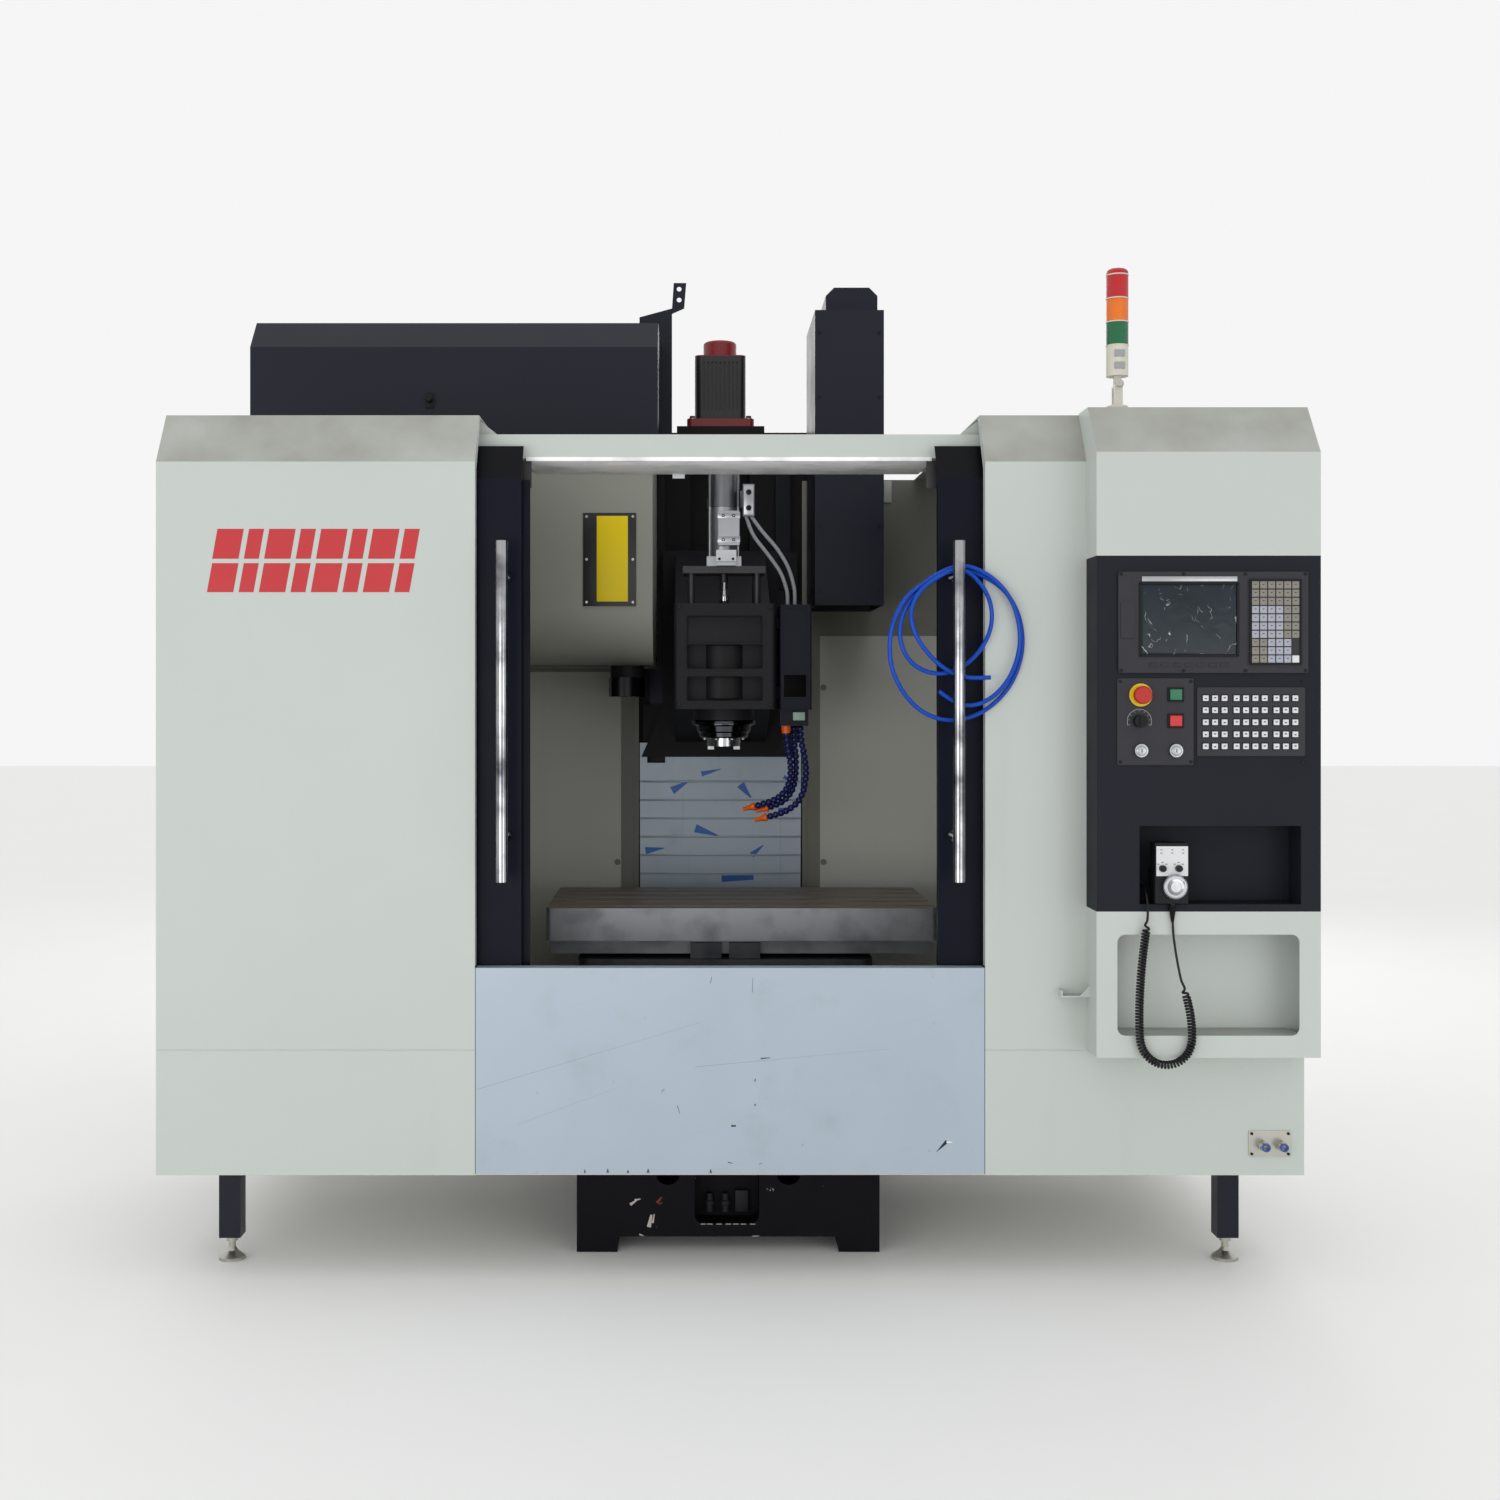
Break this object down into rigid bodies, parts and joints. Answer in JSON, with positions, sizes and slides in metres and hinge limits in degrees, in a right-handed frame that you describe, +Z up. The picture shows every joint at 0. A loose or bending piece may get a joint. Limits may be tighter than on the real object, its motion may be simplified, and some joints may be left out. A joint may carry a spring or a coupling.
{
  "type": "cnc vertical machining centre",
  "caption": "Enclosed vertical machining centre with sliding doors, moving table and head, tool magazine, control panel, hand pendant and signal tower.",
  "frame": {"origin": "on the floor, under the middle of the machine's bounding box; the spindle's centre plane is x = 0", "axes": "+X to the operator's right, +Y away from the operator, +Z up"},
  "size_m": [2.614, 2.36, 2.545],
  "materials": {
    "cream": "semi-gloss cream enamel",
    "navy": "fine textured navy-black enamel",
    "black_paint": "textured black enamel",
    "casting_black": "painted casting",
    "casting_grey": "dark grey painted casting",
    "iron": "ground iron",
    "steel": "ground steel",
    "stainless": "stainless sheet with a pale film",
    "chrome": "polished tube",
    "glass": "clear window",
    "dark_plastic": "fine grained",
    "pale_plastic": "smooth",
    "red_plastic": "glossy",
    "green_plastic": "glossy",
    "hose_blue": "glossy air hose",
    "hose_navy": "segmented hose",
    "cable_grey": "cable sheath",
    "cord_black": "curly cord",
    "lens": "tinted lens stack",
    "aluminium": "turned",
    "motor_red": "dark red enamel and black body"
  },
  "bodies": {
    "frame": {"base_casting": "casting_black", "column": "casting_black", "way_rails": "steel", "chip_pan": "cream", "cover_legs": "black_paint", "levelling_feet": "steel", "left_cover": "cream", "right_cover": "cream", "front_apron": "stainless", "crossbeam": "cream", "rear_guard": "navy", "back_wall": "cream", "door_track": "steel", "cable_duct": "navy", "z_motor": "motor_red", "magazine_cover": "cream", "arm_gearbox": "casting_grey", "electrical_cabinet": "cream", "control_hood": "cream", "panel_case": "black_paint", "tray_box": "cream", "panel_plates": "dark_plastic", "panel_keys": "pale_plastic", "pendant_body": "pale_plastic", "pendant_cord": "cord_black", "air_fittings": "steel", "tower_foot": "pale_plastic", "z_cover_1": "stainless"},
    "left_door": {"left_door": "navy", "left_window": "glass", "left_handle": "chrome"},
    "right_door": {"right_door": "navy", "right_window": "glass", "right_handle": "chrome", "air_hose": "hose_blue"},
    "saddle": {"saddle": "iron"},
    "table": {"table": "iron"},
    "head": {"head_casting": "casting_grey", "head_side_box": "black_paint", "unclamp_cylinder": "aluminium", "coolant_hoses": "hose_navy", "head_cables": "cable_grey", "z_cover_7": "stainless"},
    "spindle": {"spindle": "steel"},
    "magazine": {"magazine_disc": "steel"},
    "pot": {"tool_pot": "dark_plastic"},
    "arm": {"change_arm": "steel"},
    "tower": {"tower_body": "pale_plastic", "tower_lenses": "lens"},
    "estop": {"estop_button": "red_plastic"},
    "start": {"start_button": "green_plastic"},
    "stop": {"stop_button": "red_plastic"},
    "override": {"override_knob": "dark_plastic"},
    "wheel": {"pendant_wheel": "aluminium"},
    "cabinet_door": {"cabinet_door": "cream"},
    "cover_2": {"z_cover_2": "stainless"},
    "cover_3": {"z_cover_3": "stainless"},
    "cover_4": {"z_cover_4": "stainless"},
    "cover_5": {"z_cover_5": "stainless"},
    "cover_6": {"z_cover_6": "stainless"}
  },
  "joints": [
    {"name": "left_door_slide", "type": "slide", "parent": "frame", "child": "left_door", "axis": [1, 0, 0], "range_m": [0, 0.476]},
    {"name": "right_door_slide", "type": "slide", "parent": "frame", "child": "right_door", "axis": [-1, 0, 0], "range_m": [0, 0.476]},
    {"name": "saddle_slide", "type": "slide", "parent": "frame", "child": "saddle", "axis": [0, 1, 0], "range_m": [-0.25, 0.25]},
    {"name": "table_slide", "type": "slide", "parent": "saddle", "child": "table", "axis": [1, 0, 0], "range_m": [-0.4415, 0.3585]},
    {"name": "head_slide", "type": "slide", "parent": "frame", "child": "head", "axis": [0, 0, 1], "range_m": [-0.2, 0.264]},
    {"name": "spindle_spin", "type": "hinge", "parent": "head", "child": "spindle", "pos_m": [0, -0.3, 1.192], "axis": [0, 0, 1], "continuous": true},
    {"name": "magazine_turn", "type": "hinge", "parent": "frame", "child": "magazine", "pos_m": [-0.478, -0.09, 1.712], "axis": [1, 0, 0], "continuous": true},
    {"name": "pot_flip", "type": "hinge", "parent": "magazine", "child": "pot", "pos_m": [-0.486, -0.09, 1.435], "axis": [0, 1, 0], "range_deg": [-90, 0]},
    {"name": "arm_turn", "type": "hinge", "parent": "frame", "child": "arm", "pos_m": [-0.264, -0.195, 1.325], "axis": [0, 0, 1], "range_deg": [-14, 14]},
    {"name": "tower_fold", "type": "hinge", "parent": "frame", "child": "tower", "pos_m": [0.892, -1, 2.034], "axis": [0, 1, 0], "range_deg": [-90, 0]},
    {"name": "estop_push", "type": "slide", "parent": "frame", "child": "estop", "axis": [0, 1, 0], "range_m": [0, 0.005]},
    {"name": "start_push", "type": "slide", "parent": "frame", "child": "start", "axis": [0, 1, 0], "range_m": [0, 0.003], "stiffness_N_per_m": 400},
    {"name": "stop_push", "type": "slide", "parent": "frame", "child": "stop", "axis": [0, 1, 0], "range_m": [0, 0.003], "stiffness_N_per_m": 400},
    {"name": "override_turn", "type": "hinge", "parent": "frame", "child": "override", "pos_m": [0.904, -1.15, 1.269], "axis": [0, 1, 0], "range_deg": [-135, 135]},
    {"name": "wheel_turn", "type": "hinge", "parent": "frame", "child": "wheel", "pos_m": [0.979, -1.162, 0.904], "axis": [0, 1, 0], "continuous": true},
    {"name": "cabinet_hinge", "type": "hinge", "parent": "frame", "child": "cabinet_door", "pos_m": [-0.43, 1.15, 1.1], "axis": [0, 0, 1], "range_deg": [0, 110]},
    {"name": "cover_2_slide", "type": "slide", "parent": "frame", "child": "cover_2", "axis": [0, 0, 1], "range_m": [-0.03383, 0.0445]},
    {"name": "cover_3_slide", "type": "slide", "parent": "frame", "child": "cover_3", "axis": [0, 0, 1], "range_m": [-0.06717, 0.0885]},
    {"name": "cover_4_slide", "type": "slide", "parent": "frame", "child": "cover_4", "axis": [0, 0, 1], "range_m": [-0.1005, 0.1325]},
    {"name": "cover_5_slide", "type": "slide", "parent": "frame", "child": "cover_5", "axis": [0, 0, 1], "range_m": [-0.13383, 0.1765]},
    {"name": "cover_6_slide", "type": "slide", "parent": "frame", "child": "cover_6", "axis": [0, 0, 1], "range_m": [-0.16717, 0.2205]}
  ],
  "couplings": [
    {"joint": "cover_2_slide", "follows": "head_slide", "ratio": 0.16667},
    {"joint": "cover_3_slide", "follows": "head_slide", "ratio": 0.33333},
    {"joint": "cover_4_slide", "follows": "head_slide", "ratio": 0.5},
    {"joint": "cover_5_slide", "follows": "head_slide", "ratio": 0.66667},
    {"joint": "cover_6_slide", "follows": "head_slide", "ratio": 0.83333}
  ]
}
